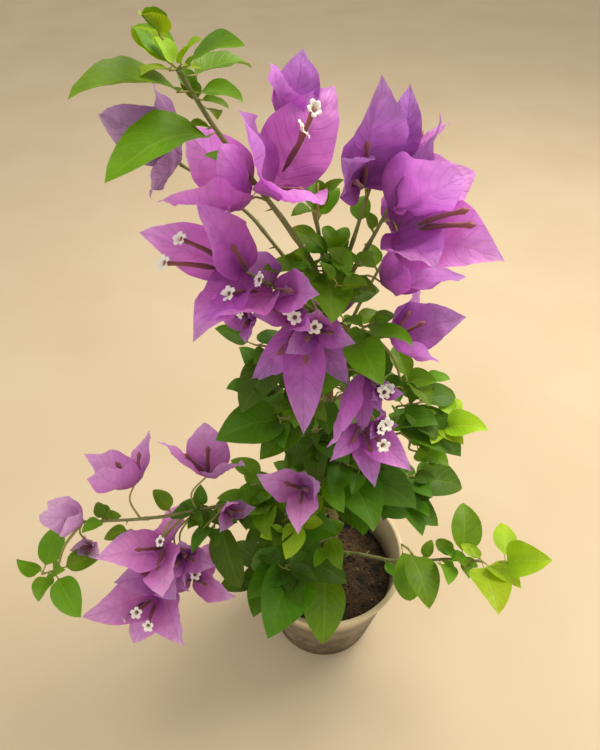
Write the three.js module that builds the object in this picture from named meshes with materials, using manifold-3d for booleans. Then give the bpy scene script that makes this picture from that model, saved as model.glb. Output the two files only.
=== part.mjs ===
// A young bougainvillea in a nursery pot, in millimetres, +Z up.
// The origin is the middle of the pot's flat underside, and -Y is the plant's front.
// Pot, soil, stem, boughs, blooms and leaf masses are separate closed bodies, a small gap apart.
import * as THREE from 'three';
import { mergeVertices } from 'three/addons/utils/BufferGeometryUtils.js';
import Module from 'manifold-3d';

const wasm = await Module();
wasm.setup();

// ---------------------------------------------------------------- driving dimensions
const GAP = 0.5; // left between two bodies where one is cut round the other
const SEAT = 0.3; // left under the stem's flat foot
const SMOOTHING = 0.2; // slivers along a cut are taken up within this distance

const POT = {
  rim: 60, foot: 42, height: 98, wall: 1.6, floor: 2.4, lip: 2.2, lipHeight: 5, edge: 0.8, sides: 20,
};
const SOIL = { top: 71, rings: 2, relief: 0.9 };
const STEM = { foot: 3.7, top: 1.9, flare: 1.45, flareHeight: 14, sides: 8, steps: 8 };
const BOUGH = { sides: 5, steps: 5 };
// A blade's width and bow are shares of its length; sides and rows are its facets.
const BRACT = { width: 0.66, bow: -0.1, thick: 3.4, cup: 0.3, base: 0.16, swell: 0.9, sides: 4, rows: 3 };
const LEAF = { width: 0.64, bow: 0.08, thick: 3.2, cup: 0.12, base: 0.1, swell: 0.8, sides: 4, rows: 3 };
const HEART = { radius: 4, lift: 1.4, start: 0.8, sides: 5, rows: 3 }; // where a bloom's bracts meet
const CORE = { start: 0.3, fine: 14 }; // leaves start this far out of a core; a larger core is finer

const COLOURS = {
  pot: 0xe0cda8,
  soil: 0x3d2c18,
  bark: 0x8f8a58,
  bract: 0xb95cc4,
  faded: 0x9c6c9c,
  leaf: 0x3f7314,
  young: 0x86bb2c,
};

// ---------------------------------------------------------------- limbs, foot to tip
const LIMBS = {
  top_left_bough: { radii: [1.6, 0.9],
    route: [[-6, 2, 336], [-18, 1, 366], [-33, 2, 388], [-52, 4, 416], [-68, 3, 446]] },
  top_bough: { radii: [1.3, 0.8],
    route: [[-6, 2, 340], [-11, 12, 367], [-18, 21, 394], [-22, 24, 417]] },
  top_right_bough: { radii: [1.3, 0.8],
    route: [[-6, 2, 332], [2, 6, 355], [8, 9, 378], [12, 9, 398]] },
  right_bough: { radii: [1.4, 0.8],
    route: [[-6, 2, 326], [4, 8, 344], [14, 9, 366], [21, 7, 386]] },
  right_side_bough: { radii: [1.2, 0.8],
    route: [[-5, 2, 292], [8, 3, 303], [20, -1, 313], [31, -5, 320]] },
  left_bough: { radii: [1.3, 0.8],
    route: [[-6, 2, 320], [-20, -2, 338], [-35, -6, 351], [-50, -8, 362]] },
  back_left_bough: { radii: [1.3, 0.8],
    route: [[-5, 2, 312], [-24, 16, 345], [-52, 32, 374], [-81, 41, 390]] },
  back_bough: { radii: [1.3, 0.8],
    route: [[-4, 2, 268], [6, 20, 300], [22, 36, 328], [34, 44, 348]] },
  arching_bough: { radii: [1.7, 1.2],
    route: [[3, 2, 160], [-14, -14, 188], [-40, -30, 210], [-72, -46, 224]] },
  arching_bough_end: { radii: [1.2, 0.7],
    route: [[-72, -46, 224], [-100, -57, 231], [-122, -60, 233], [-141, -60, 231]] },
  right_upper_bough: { radii: [1.1, 0.7],
    route: [[-2, 3, 212], [16, -3, 229], [36, -8, 244], [61, -11, 256]] },
  right_spray_bough: { radii: [1.5, 0.8],
    route: [[6, 1, 94], [24, -8, 105], [52, -20, 116], [80, -29, 136], [104, -40, 152]] },
};

// ---------------------------------------------------------------- blooms: three bracts round a foot
// A bract or leaf is [azimuth, elevation, length]: azimuth 0 is +X, 90 is the back, 270 is the front.
const BLOOMS = {
  top_bloom: { at: [-32, -2, 396], bracts: [[230, 65, 45], [45, 35, 52], [305, 15, 45]] },
  topmost_bloom: { at: [-24, 25, 413], bracts: [[287, 70, 36], [245, 60, 34], [63, 15, 32]] },
  upper_right_bloom: { at: [7, 6, 393], bracts: [[305, 85, 47], [55, 35, 46], [245, 45, 34]] },
  upper_right_back_bloom: { at: [25, 17, 399], bracts: [[270, 80, 36], [40, 15, 34], [120, 25, 34]] },
  far_right_bloom: { at: [19, 5, 384], bracts: [[310, 35, 48], [30, 5, 50], [35, 60, 44]] },
  right_bloom: { at: [22, -5, 378], bracts: [[321, 8, 52], [290, 10, 40], [50, 15, 38]] },
  lower_right_bloom: { at: [19, 0, 346], bracts: [[320, 30, 46], [300, 65, 42], [40, 10, 40]] },
  side_right_bloom: { at: [26, -5, 315], bracts: [[60, 30, 36], [0, 25, 40], [310, 10, 34]] },
  upper_left_bloom: { at: [-42, 3, 388], bracts: [[140, 30, 46], [220, 15, 47], [250, 60, 40]] },
  left_bloom: { at: [-44, -8, 359], bracts: [[165, 15, 54], [240, -10, 46], [215, 60, 48]] },
  far_left_bloom: { at: [-76, 40, 396], bracts: [[115, 30, 42], [165, 10, 46], [257, -5, 40]], faded: true },
  inner_left_bloom: { at: [-32, -10, 350], bracts: [[220, 5, 42], [115, 5, 32], [320, 20, 30]] },
  front_bloom: { at: [-18, -8, 330], bracts: [[200, -50, 46], [270, -55, 58], [345, -55, 44]] },
  middle_bloom: { at: [12, -14, 301], bracts: [[240, -30, 44], [275, -55, 36], [350, -60, 36]] },
  middle_right_bloom: { at: [13, -28, 276], bracts: [[315, -10, 36], [280, -40, 34], [230, -10, 28]] },
  lower_bloom: { at: [-18, -38, 232], bracts: [[180, 30, 30], [265, 0, 30], [310, 50, 26]] },
  back_bloom: { at: [33, 45, 346], bracts: [[30, 0, 42], [95, 5, 40], [60, 70, 40]] },
  spray_left_bloom: { at: [-107, -50, 252], bracts: [[90, 5, 38], [225, 50, 35], [150, 10, 36]] },
  spray_top_bloom: { at: [-69, -48, 255], bracts: [[150, 15, 36], [95, 10, 36], [340, 45, 32]] },
  spray_bud_bloom: { at: [-138, -60, 232], bracts: [[205, 50, 27], [260, 40, 24], [145, 0, 27]],
    faded: true },
  spray_middle_bloom: { at: [-96, -64, 211], bracts: [[85, 0, 32], [205, 30, 40], [280, 15, 36]] },
  spray_star_bloom: { at: [-86, -62, 172], bracts: [[39, 45, 30], [335, 20, 34], [232, 50, 32]] },
  spray_bottom_bloom: { at: [-105, -70, 170], bracts: [[210, 20, 46], [300, 10, 42], [230, -40, 36]] },
};

// ---------------------------------------------------------------- leaf masses: leaves round a core
const LEAVES = {
  shoot_tip_leaves: { at: [-69, 3, 449], core: 4,
    leaves: [[250, 45, 21], [145, 10, 20], [335, 20, 16], [235, -15, 18]] },
  shoot_left_leaves: { at: [-61, 1, 426], core: 4, leaves: [[225, 20, 52], [235, -10, 50]] },
  shoot_right_leaves: { at: [-60, 6, 439], core: 3,
    leaves: [[330, 30, 28], [40, -5, 27], [320, -10, 25], [65, -60, 24]] },
  fork_leaves: { at: [-5, 0, 359], core: 5,
    leaves: [[105, 40, 18], [60, 35, 19], [325, 20, 17], [230, -10, 18], [270, -20, 34], [175, -10, 34]] },
  right_fork_leaves: { at: [11, -10, 327], core: 6,
    leaves: [[25, 10, 18], [235, 0, 16], [325, 5, 28], [280, -15, 34]] },
  upper_left_leaves: { at: [-37, -3, 309], core: 7, leaves: [[175, 20, 29], [240, -5, 14], [250, -30, 38]] },
  middle_left_leaves: { at: [-25, -22, 274], core: 8,
    leaves: [[130, 0, 26], [205, 10, 44], [240, -10, 30]] },
  middle_leaves: { at: [-11, -14, 253], core: 12,
    leaves: [[205, 20, 22], [30, 5, 24], [275, -25, 30], [315, -5, 28]] },
  middle_right_leaves: { at: [29, -2, 263], core: 10,
    leaves: [[55, 30, 20], [20, 0, 30], [300, -10, 27], [315, -20, 41]] },
  back_upper_leaves: { at: [-8, 22, 286], core: 13,
    leaves: [[60, 20, 38], [110, -10, 40], [150, 25, 36], [95, 50, 34], [30, -5, 36]] },
  back_lower_leaves: { at: [4, 26, 190], core: 15,
    leaves: [[95, 0, 46], [50, 20, 42], [140, 10, 44], [20, -10, 38], [165, -15, 40]] },
  lower_left_leaves: { at: [-35, -28, 214], core: 8,
    leaves: [[225, 20, 20], [260, -5, 30], [225, 10, 32], [140, -5, 26]] },
  lower_leaves: { at: [11, -16, 220], core: 12,
    leaves: [[145, 5, 32], [25, 0, 34], [330, -10, 45], [285, 0, 44], [230, 0, 30]] },
  lower_right_leaves: { at: [45, -8, 199], core: 8,
    leaves: [[25, -5, 24], [0, -15, 44], [315, 15, 26], [285, -15, 38]] },
  foot_left_leaves: { at: [-26, -24, 146], core: 10,
    leaves: [[320, 15, 24], [165, -25, 32], [280, 5, 36], [250, 0, 52], [225, 0, 38]] },
  foot_front_leaf: { at: [-2, -24, 122], core: 4, leaves: [[268, -28, 54]] },
  foot_right_leaf: { at: [54, -20, 137], core: 3, leaves: [[285, -10, 44], [275, -50, 40]] },
  right_shoot_leaves: { at: [64, -11, 257], core: 3,
    leaves: [[95, 5, 20], [50, 15, 18], [325, 25, 26], [290, 5, 18], [235, 5, 20]] },
  right_spray_leaves: { at: [81, -29, 143], core: 3,
    leaves: [[65, 20, 38], [110, -25, 16], [315, 25, 16], [260, 10, 26]] },
  right_spray_end_leaves: { at: [107, -42, 155], core: 3,
    leaves: [[70, 5, 30], [330, 45, 42], [295, 20, 26], [255, 10, 40], [125, -15, 20]] },
  spray_inner_leaves: { at: [-70, -44, 206], core: 5, leaves: [[65, 5, 22], [245, 15, 28], [301, -56, 46]] },
  spray_end_leaves: { at: [-156, -80, 214], core: 3,
    leaves: [[90, 5, 27], [185, 50, 20], [270, 10, 19], [315, -25, 30], [35, -25, 30]] },
};

// ---------------------------------------------------------------- helpers
const radians = THREE.MathUtils.degToRad;

function solid(geometry) {
  const bare = geometry.index ? geometry.toNonIndexed() : geometry.clone();
  bare.deleteAttribute('normal');
  bare.deleteAttribute('uv');
  const merged = mergeVertices(bare, 1e-4);
  return new wasm.Manifold(new wasm.Mesh({
    numProp: 3,
    vertProperties: Float32Array.from(merged.attributes.position.array),
    triVerts: Uint32Array.from(merged.index.array),
  }));
}

function meshOf(name, body, colour, roughness) {
  const { vertProperties, triVerts } = body.getMesh();
  const geometry = new THREE.BufferGeometry();
  geometry.setAttribute('position', new THREE.BufferAttribute(Float32Array.from(vertProperties), 3));
  geometry.setIndex(Array.from(triVerts));
  geometry.computeVertexNormals();
  const material = new THREE.MeshStandardMaterial({ color: colour, roughness, metalness: 0 });
  const mesh = new THREE.Mesh(geometry, material);
  mesh.name = name;
  return mesh;
}

function largestPiece(body) {
  const pieces = body.decompose();
  pieces.sort((a, b) => b.volume() - a.volume());
  return pieces[0];
}

// A direction from an azimuth and an elevation in degrees.
function heading([azimuth, elevation]) {
  const flat = Math.cos(radians(elevation));
  return new THREE.Vector3(
    flat * Math.cos(radians(azimuth)),
    flat * Math.sin(radians(azimuth)),
    Math.sin(radians(elevation)),
  );
}

// ---------------------------------------------------------------- limbs
function limb({ route, radii }, { sides, steps }, grow = 0, flare = null) {
  const path = new THREE.CatmullRomCurve3(route.map((p) => new THREE.Vector3(...p)));
  const length = path.getLength();
  const frames = path.computeFrenetFrames(steps, false);
  const shape = new THREE.CylinderGeometry(1, 1, 1, sides, steps);
  const spots = shape.attributes.position;
  const spot = new THREE.Vector3();
  for (let i = 0; i < spots.count; i += 1) {
    spot.fromBufferAttribute(spots, i);
    const step = Math.round((spot.y + 0.5) * steps);
    const along = step / steps;
    let radius = THREE.MathUtils.lerp(radii[0], radii[1], along) + grow;
    if (flare) {
      const left = Math.max(0, 1 - (along * length) / flare.height);
      radius *= 1 + (flare.scale - 1) * left * left;
    }
    const centre = path.getPointAt(along);
    const place = centre
      .addScaledVector(frames.normals[step], spot.x * radius)
      .addScaledVector(frames.binormals[step], -spot.z * radius);
    if (flare) {
      const flat = step === 0 || step === steps;
      if (flat) place.z = path.getPointAt(along).z;
    }
    spots.setXYZ(i, place.x, place.y, place.z);
  }
  const body = solid(shape);
  return body.volume() > 0 ? body : solid(flipped(shape));
}

function flipped(geometry) {
  const turned = geometry.clone();
  const index = turned.index.array;
  for (let i = 0; i < index.length; i += 3) {
    [index[i], index[i + 1]] = [index[i + 1], index[i]];
  }
  return turned;
}

// ---------------------------------------------------------------- bracts and leaves
// A blade from its stalk at the base to its pointed tip, widest a third of the way, bowed and cupped
// towards its upper side.
function blade(foot, [azimuth, elevation, reach], start, upper, kind, grow) {
  const forward = heading([azimuth, elevation]);
  const length = reach - start + grow;
  const across = new THREE.Vector3().crossVectors(upper, forward).normalize();
  const out = new THREE.Vector3().crossVectors(forward, across);
  const shape = new THREE.SphereGeometry(1, kind.sides, kind.rows);
  const spots = shape.attributes.position;
  const spot = new THREE.Vector3();
  for (let i = 0; i < spots.count; i += 1) {
    spot.fromBufferAttribute(spots, i);
    const along = (1 - spot.y) / 2;
    const ring = Math.hypot(spot.x, spot.z);
    const outline = Math.sin(Math.PI * along ** kind.swell);
    const unit = ring > 1e-6 ? 1 / ring : 0;
    const half = (kind.width * reach * (outline + kind.base * (1 - along))) / 2 + grow;
    const thick = (kind.thick / 2) * (0.4 + 0.6 * outline) + grow;
    const w = spot.x * unit * half;
    const lift = kind.cup * Math.abs(w) + kind.bow * reach * 4 * along * (1 - along);
    const place = foot.clone()
      .addScaledVector(forward, start + along * length - grow / 2)
      .addScaledVector(across, w)
      .addScaledVector(out, spot.z * unit * thick + lift);
    spots.setXYZ(i, place.x, place.y, place.z);
  }
  const body = solid(shape);
  return body.volume() > 0 ? body : solid(flipped(shape));
}

// A bloom opens along the middle of its bracts, whose upper sides face each other.
function bloom({ at, bracts }, grow = 0) {
  const foot = new THREE.Vector3(...at);
  const axis = new THREE.Vector3();
  for (const aim of bracts) axis.add(heading(aim));
  axis.normalize();
  const heart = new THREE.SphereGeometry(HEART.radius + grow, HEART.sides, HEART.rows);
  heart.translate(...axis.clone().multiplyScalar(HEART.lift).add(foot));
  const parts = bracts.map((aim) => blade(foot, aim, HEART.start, axis, BRACT, grow));
  return [solid(heart), ...parts].reduce((a, b) => a.add(b));
}

// A leaf mass: an uneven core with leaves round it, their upper sides to the sky.
function leafMass({ at, leaves, core }, grow = 0) {
  const heart = new THREE.IcosahedronGeometry(1, core > CORE.fine ? 1 : 0);
  const spots = heart.attributes.position;
  for (let i = 0; i < spots.count; i += 1) {
    const [x, y, z] = [spots.getX(i), spots.getY(i), spots.getZ(i)];
    const uneven = 1 + 0.14 * Math.sin(3 * x + 2 * z) + 0.12 * Math.cos(4 * y - x);
    const radius = core * uneven + grow;
    spots.setXYZ(i, at[0] + x * radius, at[1] + y * radius, at[2] + z * radius);
  }
  const foot = new THREE.Vector3(...at);
  const sky = new THREE.Vector3(0, 0, 1);
  const parts = leaves.map((aim) => blade(foot, aim, core * CORE.start, sky, LEAF, grow));
  return [solid(heart), ...parts].reduce((a, b) => a.add(b));
}

// ---------------------------------------------------------------- pot and soil
function pot() {
  const { rim, foot, height, wall, floor, lip, lipHeight, edge, sides } = POT;
  const slope = (rim - lip - foot) / height;
  const outer = (z) => foot + slope * z;
  const profile = [
    [0, 0], [foot - edge, 0], [foot, edge], [outer(height - lipHeight), height - lipHeight],
    [rim, height - lipHeight + edge], [rim, height - edge], [rim - edge, height],
    [outer(height) - wall + edge, height], [outer(height) - wall, height - edge],
    [outer(floor + 2) - wall, floor + 2], [outer(floor) - wall - 2, floor], [0, floor],
  ];
  return new THREE.LatheGeometry(profile.map(([r, z]) => new THREE.Vector2(r, z)), sides)
    .rotateX(Math.PI / 2);
}

function soil() {
  const { rim, foot, height, wall, floor, lip } = POT;
  const slope = (rim - lip - foot) / height;
  const inner = (z) => foot + slope * z - wall - GAP;
  const edge = inner(SOIL.top);
  const profile = [[0, floor + GAP], [inner(floor) - 2, floor + GAP], [inner(floor + 2), floor + 2 + GAP],
    [edge, SOIL.top - 1]];
  for (let ring = SOIL.rings - 1; ring >= 0; ring -= 1) profile.push([(edge * ring) / SOIL.rings, SOIL.top]);
  const shape = new THREE.LatheGeometry(profile.map(([r, z]) => new THREE.Vector2(r, z)), POT.sides)
    .rotateX(Math.PI / 2);
  const spots = shape.attributes.position;
  for (let i = 0; i < spots.count; i += 1) {
    const [x, y, z] = [spots.getX(i), spots.getY(i), spots.getZ(i)];
    const flat = Math.hypot(x, y);
    if (z > SOIL.top - 0.5 && flat > 1) {
      spots.setZ(i, z - SOIL.relief * (1 + Math.sin(0.31 * x + 0.17 * y) * Math.cos(0.23 * y)));
    }
  }
  return shape;
}

// ---------------------------------------------------------------- assembly
const plant = new THREE.Group();
plant.name = 'potted_bougainvillea';

const potBody = solid(pot());
const soilBody = solid(soil());
plant.add(meshOf('pot', potBody, COLOURS.pot, 0.45));
plant.add(meshOf('potting_soil', soilBody, COLOURS.soil, 0.95));

const stemRoute = [[6.6, 1.4, SOIL.top + SEAT], [4, 2, 150], [-2, 3, 240], [-6, 2, 346]];
const stemShape = { route: stemRoute, radii: [STEM.foot, STEM.top] };
const stemFlare = { scale: STEM.flare, height: STEM.flareHeight };
const grown = [];
plant.add(meshOf('main_stem', limb(stemShape, STEM, 0, stemFlare), COLOURS.bark, 0.8));
grown.push(limb(stemShape, STEM, GAP, stemFlare));

// Each body is cut round those made before it, and keeps its largest piece.
function addCut(name, make, colour, roughness) {
  const cut = grown.reduce((body, cutter) => body.subtract(cutter), make(0));
  plant.add(meshOf(name, largestPiece(cut.simplify(SMOOTHING)), colour, roughness));
  grown.push(make(GAP));
}

for (const [name, shape] of Object.entries(LIMBS)) {
  addCut(name, (grow) => limb(shape, BOUGH, grow), COLOURS.bark, 0.8);
}
for (const [name, shape] of Object.entries(BLOOMS)) {
  addCut(name, (grow) => bloom(shape, grow), shape.faded ? COLOURS.faded : COLOURS.bract, 0.6);
}
for (const [name, shape] of Object.entries(LEAVES)) {
  addCut(name, (grow) => leafMass(shape, grow), shape.core < 5 ? COLOURS.young : COLOURS.leaf, 0.55);
}

export default plant;
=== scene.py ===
"""A young bougainvillea in a plastic nursery pot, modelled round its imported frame.

Lengths are worked out in millimetres and turned to metres where a mesh is made. The plant's limbs, the
feet of its blooms and the hubs of its leaf masses are all measured on the frame's solids. Everything
smaller grows on from those by seeded rules: stalks, bracts, tube flowers, leaves, thorns and soil.
"""

import math
import random

import bmesh
import bpy
import numpy as np
from bpy.props import FloatProperty, FloatVectorProperty, IntProperty, PointerProperty
from mathutils import Matrix, Vector, noise
from mathutils.kdtree import KDTree


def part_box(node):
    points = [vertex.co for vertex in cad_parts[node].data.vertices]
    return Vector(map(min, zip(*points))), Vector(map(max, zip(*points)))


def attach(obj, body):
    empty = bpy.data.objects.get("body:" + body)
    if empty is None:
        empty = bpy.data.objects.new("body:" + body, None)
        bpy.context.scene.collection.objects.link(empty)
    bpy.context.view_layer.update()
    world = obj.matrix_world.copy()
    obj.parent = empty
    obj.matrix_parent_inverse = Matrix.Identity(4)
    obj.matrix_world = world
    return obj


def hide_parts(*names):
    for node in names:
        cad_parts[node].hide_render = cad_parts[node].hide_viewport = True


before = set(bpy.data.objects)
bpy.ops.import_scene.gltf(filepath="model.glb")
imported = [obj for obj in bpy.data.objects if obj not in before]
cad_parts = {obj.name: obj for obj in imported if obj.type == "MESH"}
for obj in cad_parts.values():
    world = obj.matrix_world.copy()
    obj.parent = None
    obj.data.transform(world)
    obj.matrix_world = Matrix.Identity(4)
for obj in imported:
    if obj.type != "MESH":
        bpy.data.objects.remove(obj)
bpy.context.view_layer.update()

bl_info = {
    "name": "Potted Bougainvillea",
    "version": (1, 0, 0),
    "blender": (4, 5, 0),
    "location": "View3D > Sidebar > Bougainvillea",
    "description": "Grows a young bougainvillea and its nursery pot round a measured frame",
    "category": "Object",
}

MM = 0.001
FULL_TURN = 2 * math.pi
# Full turns, rounded, that random phases and angles are drawn from.
ANY_PHASE = 6.28
ANY_ANGLE = 6.283
GOLDEN_ANGLE = math.radians(137.5)
BODY = "root"

POT_LOW, POT_HIGH = (Vector(corner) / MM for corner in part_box("pot"))
POT_RIM = (POT_HIGH.x - POT_LOW.x) / 2
POT_HEIGHT = POT_HIGH.z

# ------------------------------------------------------------------ the plant's own facts
LIMBS = (
    "top_left_bough", "top_bough", "top_right_bough", "right_bough", "right_side_bough", "left_bough",
    "back_left_bough", "back_bough", "arching_bough", "arching_bough_end", "right_upper_bough",
    "right_spray_bough",
)

# A bract or leaf is (azimuth, elevation, length): azimuth 0 is right, 90 back, 180 left, 270 front.
# Each bloom: its three bracts, its kind, and how many of its three flowers have opened.
BLOOMS = {
    "top_bloom": (((230, 65, 45), (45, 35, 52), (305, 15, 45)), "bright", 2),
    "topmost_bloom": (((287, 70, 36), (245, 60, 34), (63, 15, 32)), "bright", 0),
    "upper_right_bloom": (((305, 85, 47), (55, 35, 46), (245, 45, 34)), "bright", 0),
    "upper_right_back_bloom": (((270, 80, 36), (40, 15, 34), (120, 25, 34)), "bright", 1),
    "far_right_bloom": (((310, 35, 48), (30, 5, 50), (35, 60, 44)), "bright", 0),
    "right_bloom": (((321, 8, 52), (290, 10, 40), (50, 15, 38)), "bright", 0),
    "lower_right_bloom": (((320, 30, 46), (300, 60, 35), (40, 10, 40)), "bright", 0),
    "side_right_bloom": (((60, 30, 36), (0, 25, 40), (310, 10, 34)), "bright", 0),
    "upper_left_bloom": (((140, 30, 46), (220, 15, 47), (250, 60, 40)), "bright", 0),
    "left_bloom": (((165, 15, 54), (240, -10, 46), (215, 60, 48)), "bright", 2),
    # The far left bloom takes the shaded kind, whose darker colours are painted shade.
    "far_left_bloom": (((115, 30, 42), (165, 10, 46), (257, -5, 40)), "faded", 0),
    "inner_left_bloom": (((220, 5, 42), (115, 5, 32), (320, 20, 30)), "bright", 2),
    "front_bloom": (((200, -50, 46), (270, -55, 58), (345, -55, 44)), "bright", 0),
    "middle_bloom": (((240, -30, 44), (275, -55, 36), (350, -60, 36)), "bright", 1),
    "middle_right_bloom": (((315, -10, 36), (280, -40, 34), (230, -10, 28)), "bright", 1),
    "lower_bloom": (((180, 30, 30), (265, 0, 30), (310, 50, 26)), "pale", 0),
    "back_bloom": (((30, 0, 42), (95, 5, 40), (60, 70, 40)), "bright", 2),
    "spray_left_bloom": (((90, 5, 38), (225, 50, 35), (150, 10, 36)), "pale", 0),
    "spray_top_bloom": (((150, 15, 36), (95, 10, 36), (340, 45, 32)), "pale", 0),
    "spray_bud_bloom": (((205, 50, 27), (260, 40, 24), (145, 0, 27)), "lilac", 0),
    "spray_middle_bloom": (((85, 0, 32), (205, 30, 40), (280, 15, 36)), "pale", 1),
    "spray_star_bloom": (((39, 45, 30), (335, 20, 34), (232, 50, 32)), "pale", 1),
    "spray_bottom_bloom": (((210, 20, 46), (300, 10, 42), (230, -40, 36)), "pale", 3),
}

# Blooms with narrower bracts than the usual, as a share of it.
NARROW = {
    "front_bloom": 0.6, "left_bloom": 0.72, "middle_bloom": 0.5, "middle_right_bloom": 0.72,
    "upper_right_back_bloom": 0.6, "topmost_bloom": 0.85, "far_left_bloom": 0.85, "spray_star_bloom": 0.85,
    "spray_bottom_bloom": 0.9,
}

# Blooms whose bracts turn their inner sides this way (azimuth, elevation) and not to each other.
FACING = {
    "right_bloom": (275, 50), "left_bloom": (250, 60), "front_bloom": (265, 30),
    "spray_star_bloom": (265, 45), "upper_right_bloom": (290, 20), "spray_bottom_bloom": (260, 45),
    "middle_right_bloom": (280, 40),
}

# Masses with slender leaves, as a width over their length.
SLENDER = {"shoot_left_leaves": 0.46, "spray_inner_leaves": 0.46}

# Flowers that stand away from the bracts, open where their bloom has any open: azimuth, elevation, length.
LEANING = {
    "left_bloom": ((182, 31, 34), (188, 11, 38)),
    "top_bloom": ((319, 62, 34), (334, 64, 42)),
    "right_bloom": ((326, 23, 36), (323, 33, 36)),
    "inner_left_bloom": ((210, 12, 24), (242, 50, 16)),
    "spray_bottom_bloom": ((218, -2, 26), (241, 26, 22), (264, 4, 22)),
    "spray_star_bloom": ((324, 67, 15),),
    "spray_middle_bloom": ((291, 72, 15),),
}

# Small late blooms between the others: foot, face, bract length, kind and open flowers.
LITTLE_BLOOMS = (
    ((-24, -12, 338), (250, 35), 20, "bright", 2),
    ((-42, -12, 336), (215, 20), 19, "bright", 1),
    ((-13, -15, 330), (280, 25), 23, "bright", 1),
    ((22, -20, 292), (290, 40), 13, "bright", 3),
    ((20, -30, 279), (300, 25), 12, "bright", 3),
    ((-62, -46, 222), (310, 30), 17, "pale", 0),
    ((-92, -56, 190), (240, 20), 26, "pale", 0),
    ((-101, -66, 188), (255, 45), 29, "pale", 0),
    ((-88, -60, 196), (285, 40), 24, "pale", 0),
    ((-138, -61, 209), (250, 40), 13, "lilac", 0),
    ((2, 34, 300), (100, 30), 34, "bright", 1),
    ((-20, 30, 250), (130, 25), 30, "bright", 2),
)

# Small leafy shoots between the masses: hub, shoot (azimuth, elevation, half length), number of leaves,
# leaf length and age.
LITTLE_SHOOTS = (
    ((-5, -10, 347), (285, 60, 14), 13, 19, "fresh"),
    ((3, -7, 358), (340, 60, 8), 6, 17, "fresh"),
    ((29, -6, 282), (320, 30, 8), 6, 25, "mature"),
    ((40, -8, 288), (340, 20, 5), 4, 22, "fresh"),
    ((40, -8, 256), (330, 10, 8), 3, 27, "mature"),
    ((52, -10, 230), (330, 10, 6), 3, 25, "fresh"),
    ((-70, 2, 451), (150, 75, 3), 2, 22, "fresh"),
    ((-6, -34, 232), (280, -20, 6), 3, 26, "fresh"),
    ((-2, -36, 172), (285, -30, 5), 3, 28, "fresh"),
    ((-24, -38, 196), (250, -10, 5), 3, 24, "young"),
    ((-42, -30, 118), (215, 0, 10), 6, 40, "mature"),
    ((18, -16, 192), (300, 40, 14), 9, 36, "mature"),
    ((44, -14, 187), (320, 20, 8), 6, 34, "mature"),
    ((4, -18, 236), (280, 30, 12), 9, 30, "mature"),
    ((-30, -30, 186), (230, 20, 10), 8, 32, "mature"),
    ((-26, -28, 128), (240, 10, 10), 7, 36, "mature"),
    ((-43, -24, 218), (210, 20, 8), 6, 28, "fresh"),
    ((-36, -12, 290), (220, 10, 8), 6, 27, "mature"),
    ((-18, -16, 284), (270, 10, 8), 6, 25, "fresh"),
    ((-122, -62, 224), (200, 10, 9), 5, 17, "fresh"),
    ((-74, -46, 226), (240, 10, 9), 7, 19, "mature"),
    ((-56, -36, 204), (280, 0, 8), 5, 22, "mature"),
    ((-12, 8, 386), (90, 50, 8), 5, 19, "fresh"),
    ((-40, 2, 404), (120, 40, 6), 4, 20, "fresh"),
    ((18, 24, 262), (60, 20, 12), 7, 32, "mature"),
    ((-24, 22, 222), (130, 20, 12), 7, 34, "mature"),
    ((24, 26, 160), (70, 10, 12), 7, 36, "mature"),
    ((-16, 28, 140), (120, 0, 12), 6, 38, "mature"),
)

# Leaves up the main stem: their heights, how far apart they stand, the lengths of the highest and lowest,
# and the height under which the stem's right side is bare.
STEM_LEAVES = {"from": 116, "to": 340, "step": 4.2, "short": 22, "long": 40, "bare_below": 175}

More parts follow.
